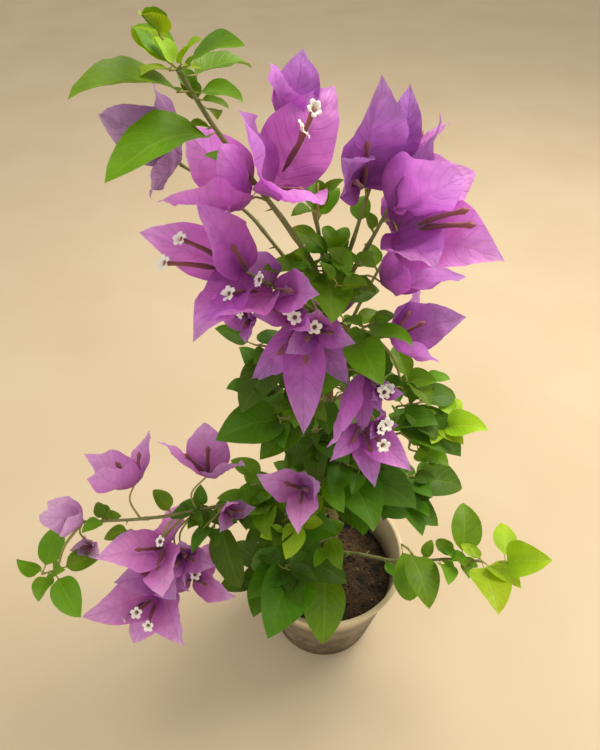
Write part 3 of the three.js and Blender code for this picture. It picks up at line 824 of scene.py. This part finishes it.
def grow_bloom(foot, aims, kind, opened, rng, narrow=1.0, facing=None, leaning=()):
    """Three bracts round a foot, their inner sides to the middle, each with a tube flower on its midrib."""
    axis = heading(*facing) if facing else middle_way(aims)
    bracts = Growth.joined("bracts_" + kind)
    share = bpy.context.scene.plant_sizes.bract_width * narrow
    for k, (azimuth, elevation, length) in enumerate(aims):
        way = heading(azimuth + rng.uniform(-3, 3), elevation + rng.uniform(-3, 3))
        inner = square_to(axis, way)
        blade(bracts, foot + way * 0.8, way, inner, length - 0.8, length * share * rng.uniform(0.92, 1.1),
              BRACT_SHAPE, rng, rng.random())
        if k >= len(leaning):
            # A tube is up to half as long as its bract, and no longer than on a full-grown one.
            reach = min(length, FULL_BRACT) * rng.uniform(0.4, 0.5)
            grow_flower(foot, way, inner, reach, k < opened, kind, rng)
    for azimuth, elevation, length in leaning:
        way = heading(azimuth, elevation)
        grow_flower(foot + way * length * 0.3, way, square_to(axis, way), length * 0.7, opened > 0, kind,
                    rng, 0.3)
    back = middle_way(aims)
    start, leave = nearest_limb(foot - back * 4)
    stalk(start, foot + back * 1.5, radius=0.62, rise=0.06, leave=leave)


def grow_flower(foot, way, inner, reach, opened, kind, rng, arch=1.0):
    """A tube flower lying along one bract: waisted, ribbed, closed to a tip or opened to a star."""
    size = bpy.context.scene.plant_sizes.tube_radius / MM * rng.uniform(0.85, 1.1)
    sideways = way.cross(inner) * rng.uniform(-1.6, 1.6) * arch
    start = foot + way * 1.5 + inner * 0.8
    middle = foot + way * reach * 0.55 + inner * 2.4 + sideways * 0.4
    end = foot + way * reach + inner * rng.uniform(3.0, 5.0) * arch + sideways
    route = smooth_route([start, middle, end], 1.8)
    count = len(route)
    sizes = [size * keyed([0.45, 1.15, 0.95, 0.8, 1.0], k / (count - 1)) for k in range(count)]
    if not opened:
        route.append(end + (end - route[-2]).normalized() * 2.2)
        sizes[-1] = size * 1.25
        sizes.append(size * 0.35)

    def ribs(_, out, __):
        return 0.1 * math.cos(5 * math.atan2(out.y, out.x))

    tube(Growth.joined("flower_tubes_dry" if kind == "faded" else "flower_tubes"), route, sizes, 8, ribs)
    if opened:
        grow_star(end, ((end - route[-3]).normalized() + inner).normalized(), rng)


def grow_star(centre, axis, rng):
    """An open flower: five notched lobes round a sunken throat, their rims folded back a little."""
    bm = Growth.joined("flower_stars")
    uv = bm.loops.layers.uv.verify()
    star = bpy.context.scene.plant_sizes.star_radius / MM * rng.uniform(0.85, 1.1)
    across = axis.orthogonal().normalized()
    other = axis.cross(across)
    start = rng.uniform(0, 1.2)
    sides = 30
    # Each ring: its share of the radius, its height up the axis, the depth of its notches.
    rings = ((0.12, -0.9, 0.0), (0.3, -0.1, 0.0), (0.62, 0.75, 0.1), (0.88, 0.95, 0.24), (1.0, 0.55, 0.3))
    ring = first_ring(bm, sides)
    marks = {}
    for step, (reach, lift, notch) in enumerate(rings):
        if step:
            ring, _ = next_ring(bm, ring)
        for k, vert in enumerate(ring):
            turn = FULL_TURN * k / sides
            lobe = 1 - notch * (0.5 + 0.5 * math.cos(5 * turn)) - 0.25 * notch * math.cos(10 * turn)
            flat = across * math.cos(start + turn) + other * math.sin(start + turn)
            ruffle = notch * math.sin(10 * turn + start)
            vert.co = centre + flat * (star * reach * lobe) + axis * (lift + ruffle)
            marks[vert] = reach
    for face in {f for v in marks for f in v.link_faces}:
        for loop in face.loops:
            loop[uv].uv = (0.5, marks.get(loop.vert, 0.0))


# ------------------------------------------------------------------ leaves
# Where a leaf is tried against its neighbours, in its own lengths along it and to its side.
LEAF_TRIALS = ((0.3, 0.0), (0.6, 0.0), (1.0, 0.0), (0.4, 0.25), (0.4, -0.25), (0.7, 0.15), (0.7, -0.15))
BRACT_CLEARANCE = 3.5


def leaf_is_clear(base, tip, side):
    """Whether a leaf placed by rule would miss the bracts and the pot's wall."""
    span = tip - base
    for share, across in LEAF_TRIALS:
        spot = base + span * share + side * (across * span.length)
        if Growth.bracts.find(spot)[2] < BRACT_CLEARANCE:
            return False
        if spot.z < POT_HEIGHT + 3 and POT_RIM - 10 < math.hypot(spot.x, spot.y) < POT_RIM + 6:
            return False
    return True


# How near a shoot has to be to a limb for its leaves to grow on the limb itself.
ON_LIMB = 10
SHORTEST_LEAF = 8


def grow_leaf(node, tip, age, rng, width=None, by_rule=True):
    """One leaf on its short stalk, from a joint of a shoot to its own tip."""
    span = tip - node
    upper = Vector((rng.uniform(-0.25, 0.25), rng.uniform(-0.45, 0.05), 1.0))
    if span.length < SHORTEST_LEAF:
        return
    if abs(span.normalized().z) > 0.75:
        upper += Vector((0, -0.8, 0))
    base = node + span * min(0.18, 6 / span.length)
    if by_rule and not leaf_is_clear(base, tip, span.cross(upper).normalized()):
        return
    sizes = bpy.context.scene.plant_sizes
    length = (tip - base).length
    blade(Growth.joined("leaves_" + age), base, span.normalized(), upper, length,
          length * (width or sizes.leaf_width) * rng.uniform(0.9, 1.1), LEAF_SHAPE, rng, rng.random())
    stalk(node, base + span * 0.02, radius=sizes.stalk_radius / MM, rise=0.0)


def on_limb(point):
    """The point itself, or the nearest one on a limb where a limb runs close by."""
    spots = [nearest_on(point, route)[1] for route in Growth.routes.values()]
    nearest = min(spots, key=lambda spot: (spot - point).length)
    return nearest if (nearest - point).length < ON_LIMB else point


def grow_shoot(hub, along, half):
    """The twig of a leafy shoot, from the nearest limb through its hub; none where it sits on the limb."""
    start, leave = nearest_limb(hub - along * half, below=False)
    if on_limb(hub) != hub:
        return
    route = smooth_route([start, start + (hub - along * half - start) * 0.5 + leave * 3, hub - along * half,
                          hub, hub + along * half], 3.0)
    tube(Growth.joined("stalks"), route, tapered(len(route), 0.95, 0.5), 7)


def grow_leaf_mass(name, rng):
    """A short leafy shoot: its own leaves from the top down, then smaller ones in between by rule."""
    aims, (azimuth, elevation, half), painted_shade_band, age = LEAF_MASSES[name]
    along = heading(azimuth, elevation)
    hub = hub_of(name, aims)
    low, high = (Vector(c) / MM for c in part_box(name))
    grow_shoot(hub, along, half)
    for place, (azimuth, elevation, length) in zip(tapered(len(aims), half, -half), aims):
        grow_leaf(on_limb(hub + along * place), hub + heading(azimuth, elevation) * length, age, rng,
                  SLENDER.get(name), by_rule=False)
    size = sum(length for _, _, length in aims) / len(aims)
    for k in range(painted_shade_band):
        turn = math.degrees(k * GOLDEN_ANGLE) + rng.uniform(-25, 25)
        node = on_limb(hub + along * (half * rng.uniform(-1.1, 1.1)))
        tip = node + heading(turn, rng.uniform(-20, 45)) * (size * rng.uniform(0.45, 0.8))
        tip = Vector([min(max(c, lo - 2), hi + 2) for c, lo, hi in zip(tip, low, high)])
        grow_leaf(node, tip, age, rng)


def grow_little_shoot(hub, aim, count, size, age, rng):
    """A side shoot set with leaves by the golden angle, the largest at its foot."""
    azimuth, elevation, half = aim
    along = heading(azimuth, elevation)
    hub = Vector(hub)
    grow_shoot(hub, along, half)
    for k in range(count):
        share = k / max(1, count - 1)
        node = on_limb(hub + along * (half * (2 * share - 1)))
        turn = azimuth + math.degrees(k * GOLDEN_ANGLE) + rng.uniform(-20, 20)
        way = (heading(turn, rng.uniform(-25, 30)) + along * 0.45).normalized()
        grow_leaf(node, node + way * (size * (1.1 - 0.35 * share) * rng.uniform(0.8, 1.1)), age, rng)


def grow_stem_leaves(rng):
    """Leaves up the main stem by the golden angle, larger low down, each drooping a little."""
    line = smooth_route(Growth.limbs["main_stem"][0], 2.0)
    facts = STEM_LEAVES
    height, turn = facts["from"], 200.0
    while height < facts["to"]:
        node = min(line, key=lambda spot: abs(spot.z - height))
        share = (height - facts["from"]) / (facts["to"] - facts["from"])
        size = (facts["long"] + (facts["short"] - facts["long"]) * share) * rng.uniform(0.8, 1.1)
        bare = height < facts["bare_below"] and math.cos(math.radians(turn + 25)) > 0.3
        out = heading(turn, rng.uniform(-20, 25))
        if not bare:
            away = node + out * rng.uniform(4, 14)
            stalk(node, away, radius=0.55, rise=0.05)
            grow_leaf(away, away + heading(turn + rng.uniform(-25, 25), rng.uniform(-40, 10)) * size,
                      "mature" if rng.random() < 0.8 else "fresh", rng)
        height += facts["step"] * rng.uniform(0.7, 1.3)
        turn = (turn + math.degrees(GOLDEN_ANGLE)) % 360


def grow_bough_leaves(rng):
    """Small leaves and thorns at the joints of every bough."""
    thorn = bpy.context.scene.plant_sizes.thorn / MM
    for number, (name, (line, _)) in enumerate(Growth.limbs.items()):
        route = smooth_route(line, 2.0)
        # A joint every seventh step of 2 mm, clear of both ends.
        for k in range(12 if name == "main_stem" else 6, len(route) - 4, 7):
            way = (route[k + 1] - route[k]).normalized()
            turn = Matrix.Rotation(k * GOLDEN_ANGLE + number, 4, way)
            side = (turn @ way.orthogonal()).normalized()
            lean = (side + way * 0.45).normalized()
            foot = route[k] + side * 0.5
            tip = foot + lean * thorn * rng.uniform(0.6, 1.1)
            tube(Growth.joined("stalks"), [foot, foot + (tip - foot) * 0.5, tip], [0.55, 0.35, 0.08], 5)
            if name != "main_stem" and rng.random() < 0.8:
                grow_leaf(route[k], route[k] + (side + way * 0.6).normalized() * rng.uniform(11, 21),
                          "fresh", rng)


# ------------------------------------------------------------------ operators
class PLANT_OT_limbs(bpy.types.Operator):
    """Main stem and boughs with the relief of their bark"""

    bl_idname = "plant.limbs"
    bl_label = "Stem and boughs"

    def execute(self, context):
        Growth.limbs = read_limbs()
        Growth.routes = {name: smooth_route(line, 3.0) for name, (line, _) in Growth.limbs.items()}
        bark = stalk_material("corky_young_bark", "#5E5A32", "#A79C6C", 0.72, 0.6, 700.0)
        green = stalk_material("green_bark", "#5C6428", "#97965A", 0.6, 0.4, 900.0)
        limb_piece("bark_main_stem", ["main_stem"], 0.5, 16, bark)
        limb_piece("bark_boughs", LIMBS, 0.28, 10, green)
        return {"FINISHED"}


class PLANT_OT_blooms(bpy.types.Operator):
    """Three-bracted blooms with their tube flowers"""

    bl_idname = "plant.blooms"
    bl_label = "Blooms"

    def execute(self, context):
        rng = random.Random(11)
        for name, (aims, kind, opened) in BLOOMS.items():
            grow_bloom(hub_of(name, aims), aims, kind, opened, rng, NARROW.get(name, 1.0), FACING.get(name),
                       LEANING.get(name, ()))
        for place, (azimuth, elevation), length, kind, opened in LITTLE_BLOOMS:
            aims = [(azimuth + turn, elevation + lift, length)
                    for turn, lift in ((0, 42), (48, -22), (-48, -22))]
            grow_bloom(Vector(place), aims, kind, opened, rng)
        spots = [v.co.copy() for kind in ("bright", "pale", "lilac", "faded")
                 for v in Growth.joined("bracts_" + kind).verts]
        Growth.bracts = KDTree(len(spots))
        for number, spot in enumerate(spots):
            Growth.bracts.insert(spot, number)
        Growth.bracts.balance()
        for kind, slot in (("bright", "bract"), ("pale", "bract"), ("lilac", "faded_bract"),
                           ("faded", "faded_bract")):
            names = [n for n, facts in BLOOMS.items() if facts[1] == kind]
            finish_piece("bracts_" + kind, Growth.joined("bracts_" + kind), bract_material(kind),
                         names, outward=False)
        tubes = flower_material("flower_tube_skin", "#5E2236", "#9A5450", 0.35)
        finish_piece("flower_tubes", Growth.joined("flower_tubes"), tubes)
        dry = flower_material("dry_tube_skin", "#6B4A3A", "#8A6A4A", 0.35)
        finish_piece("flower_tubes_dry", Growth.joined("flower_tubes_dry"), dry)
        stars = flower_material("flower_star_skin", "#E4D6A4", "#FFFAEE", 1.8)
        finish_piece("flower_stars", Growth.joined("flower_stars"), stars)
        return {"FINISHED"}


class PLANT_OT_leaves(bpy.types.Operator):
    """Leaves of every mass, by age, with their stalks"""

    bl_idname = "plant.leaves"
    bl_label = "Leaves"

    def execute(self, context):
        rng = random.Random(23)
        for name in LEAF_MASSES:
            grow_leaf_mass(name, rng)
        for hub, aim, count, size, age in LITTLE_SHOOTS:
            grow_little_shoot(hub, aim, count, size, age, rng)
        grow_stem_leaves(rng)
        grow_bough_leaves(rng)
        for age in ("mature", "fresh", "young"):
            names = [n for n, facts in LEAF_MASSES.items() if facts[-1] == age]
            finish_piece("leaves_" + age, Growth.joined("leaves_" + age), leaf_material(age), names,
                         outward=False)
        green = stalk_material("green_stalk_skin", "#7C8A34", "#B3A860", 0.5, 0.2, 1200.0)
        finish_piece("stalks", Growth.joined("stalks"), green)
        return {"FINISHED"}


class PLANT_OT_pot(bpy.types.Operator):
    """Nursery pot: a spun wall with a rolled lip and a stepped foot"""

    bl_idname = "plant.pot"
    bl_label = "Pot"

    def execute(self, context):
        rim, height = POT_RIM, POT_HEIGHT
        foot = max(math.hypot(p.x, p.y) for p in node_points("pot") if p.z < 2)
        wall, lip = 1.5, 2.0
        slope = (rim - lip - foot) / height

        def side(z):
            return foot + slope * z

        # Radii and heights: under the base, up the outside, over the lip and down the inside.
        profile = [(0, 2.6), (foot - 12, 2.6), (foot - 10, 0.4), (foot - 8, 0), (foot - 1.5, 0),
                   (foot, 1.4)]
        profile += [(side(z), z) for z in (6, 7, 20, 40, 60, height - 8, height - 5.4)]
        profile += [(rim - lip + lip * math.sin(a), height - 2.6 - 2.6 * math.cos(a))
                    for a in [math.radians(d) for d in range(30, 91, 15)]]
        profile += [(rim - 0.9 + 0.9 * math.cos(a), height - 0.9 + 0.9 * math.sin(a))
                    for a in [math.radians(d) for d in range(0, 91, 22)]]
        profile += [(side(height) - wall + 0.5, height), (side(height) - wall, height - 0.6)]
        profile += [(side(z) - wall, z) for z in (height - 10, 60, 30, 6)]
        profile += [(side(4) - wall - 2, 4.2), (0, 4.2)]
        bm = bmesh.new()
        verts = [bm.verts.new((r, 0, z)) for r, z in profile]
        edges = [bm.edges.new(pair) for pair in zip(verts, verts[1:])]
        bmesh.ops.spin(bm, geom=[*verts, *edges], cent=(0, 0, 0), axis=(0, 0, 1), dvec=(0, 0, 0),
                       angle=FULL_TURN, steps=96, use_merge=True, use_duplicate=False)
        bmesh.ops.remove_doubles(bm, verts=bm.verts, dist=0.005)
        finish_piece("pot_shell", bm, pot_material(), ["pot"])
        return {"FINISHED"}


class PLANT_OT_soil(bpy.types.Operator):
    """Potting soil with its crumbs and paler chips"""

    bl_idname = "plant.soil"
    bl_label = "Soil"

    def execute(self, context):
        top = Vector(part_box("potting_soil")[1]).z / MM
        edge = max(math.hypot(p.x, p.y) for p in node_points("potting_soil") if p.z > top - 4)
        rng = random.Random(5)

        def surface(x, y):
            far = math.hypot(x, y) / edge
            lumps = noise.noise(Vector((x, y, 0)) * 0.12) * 2.0 + noise.noise(Vector((x, y, 9)) * 0.5) * 0.8
            return top - 0.9 + lumps - 1.6 * far ** 6

        # The bed is a disc of rings with two more below its edge.
        bm = bmesh.new()
        sides, rings = 96, 26
        ring = first_ring(bm, sides)
        for step in range(1, rings + 3):
            if step > 1:
                ring, _ = next_ring(bm, ring)
            for k, vert in enumerate(ring):
                angle = FULL_TURN * k / sides
                reach = edge * min(step, rings) / rings - (1.0 if step > rings + 1 else 0.0)
                x, y = reach * math.cos(angle), reach * math.sin(angle)
                vert.co = (x, y, surface(x, y) - (0 if step <= rings else 6 * (step - rings)))
        close_ring(bm, ring)
        bed = soil_material("peat_mix", "#120C06", "#5A4426")
        finish_piece("soil_bed", bm, bed, ["potting_soil"])
        crumb = soil_material("peat_crumb", "#1A1008", "#6B4E2A")
        chip = soil_material("bark_chip", "#6A5534", "#A68C5E")
        for name, count, small, large, material in (
                ("soil_crumbs", context.scene.plant_sizes.crumbs, 0.5, 2.0, crumb),
                ("soil_chips", 90, 0.6, 1.5, chip)):
            bm = bmesh.new()
            for _ in range(count):
                angle, far = rng.uniform(0, ANY_ANGLE), edge * 0.97 * math.sqrt(rng.random())
                x, y = far * math.cos(angle), far * math.sin(angle)
                size = rng.uniform(small, large) * rng.uniform(0.6, 1.0)
                way = Vector([rng.uniform(-1, 1) for _ in range(3)])
                turn = Matrix.Rotation(rng.uniform(0, ANY_ANGLE), 4, way)
                across, thick = size * rng.uniform(0.5, 1.0), size * rng.uniform(0.4, 0.8)
                shape = Matrix.Diagonal((size, across, thick, 1.0))
                where = Matrix.Translation((x, y, surface(x, y) + size * 0.15))
                bmesh.ops.create_icosphere(bm, subdivisions=1, radius=1.0, matrix=where @ turn @ shape)
            finish_piece(name, bm, material, smooth=False)
        return {"FINISHED"}


# How far down the camera looks, in degrees.
CAMERA_PITCH = 44


class PLANT_OT_stage(bpy.types.Operator):
    """Pale floor, soft studio lights and the camera"""

    bl_idname = "plant.stage"
    bl_label = "Stage"

    def execute(self, context):
        scene = context.scene
        bm = bmesh.new()
        bmesh.ops.create_grid(bm, x_segments=1, y_segments=1, size=6.0)
        mesh = bpy.data.meshes.new("studio_floor")
        bm.to_mesh(mesh)
        bm.free()
        mesh.materials.append(floor_material())
        floor = bpy.data.objects.new("studio_floor", mesh)
        scene.collection.objects.link(floor)

        world = bpy.data.worlds.new("studio_air")
        world.use_nodes = True
        air = world.node_tree.nodes["Background"]
        air.inputs["Color"].default_value = linear("#FFFAF2")
        air.inputs["Strength"].default_value = 0.62
        scene.world = world
        for name, place, size, power, colour in (
                ("key_light", (0.55, 0.35, 1.15), 0.7, 15.0, "#FFF6E8"),
                ("fill_light", (-0.9, -0.7, 0.8), 1.2, 2.8, "#F2F6FF")):
            light = bpy.data.lights.new(name, "AREA")
            light.size = size
            light.energy = power
            light.color = linear(colour)[:3]
            lamp = bpy.data.objects.new(name, light)
            lamp.location = place
            aim = Vector((0, 0, 0.25)) - Vector(place)
            lamp.rotation_euler = aim.to_track_quat("-Z", "Y").to_euler()
            scene.collection.objects.link(lamp)

        lens = bpy.data.cameras.new("camera")
        lens.sensor_width = 36.0
        lens.lens = 28.8
        lens.clip_start = 0.01
        camera = bpy.data.objects.new("camera", lens)
        camera.location = (-0.020, -0.240, 0.517)
        camera.rotation_euler = (math.radians(90 - CAMERA_PITCH), 0, 0)
        scene.collection.objects.link(camera)
        scene.camera = camera
        scene.view_settings.view_transform = "Standard"
        return {"FINISHED"}


OPERATORS = (PLANT_OT_stage, PLANT_OT_limbs, PLANT_OT_pot, PLANT_OT_soil, PLANT_OT_blooms, PLANT_OT_leaves)


class PLANT_PT_panel(bpy.types.Panel):
    """Shows the plant's sizes and colours, and a button for each step that grows it"""

    bl_idname = "PLANT_PT_panel"
    bl_label = "Bougainvillea"
    bl_space_type = "VIEW_3D"
    bl_region_type = "UI"
    bl_category = "Bougainvillea"

    def draw(self, context):
        for group in (context.scene.plant_sizes, context.scene.plant_colours):
            for name in group.bl_rna.properties.keys():
                if name not in {"rna_type", "name"}:
                    self.layout.prop(group, name)
        for operator in OPERATORS:
            self.layout.operator(operator.bl_idname)


CLASSES = (PlantSizes, PlantColours, *OPERATORS, PLANT_PT_panel)


def register():
    for cls in CLASSES:
        bpy.utils.register_class(cls)
    bpy.types.Scene.plant_sizes = PointerProperty(type=PlantSizes)
    bpy.types.Scene.plant_colours = PointerProperty(type=PlantColours)


def unregister():
    del bpy.types.Scene.plant_colours
    del bpy.types.Scene.plant_sizes
    for cls in reversed(CLASSES):
        bpy.utils.unregister_class(cls)


def main():
    register()
    for operator in OPERATORS:
        group, name = operator.bl_idname.split(".")
        getattr(getattr(bpy.ops, group), name)()


if __name__ == "__main__":
    main()
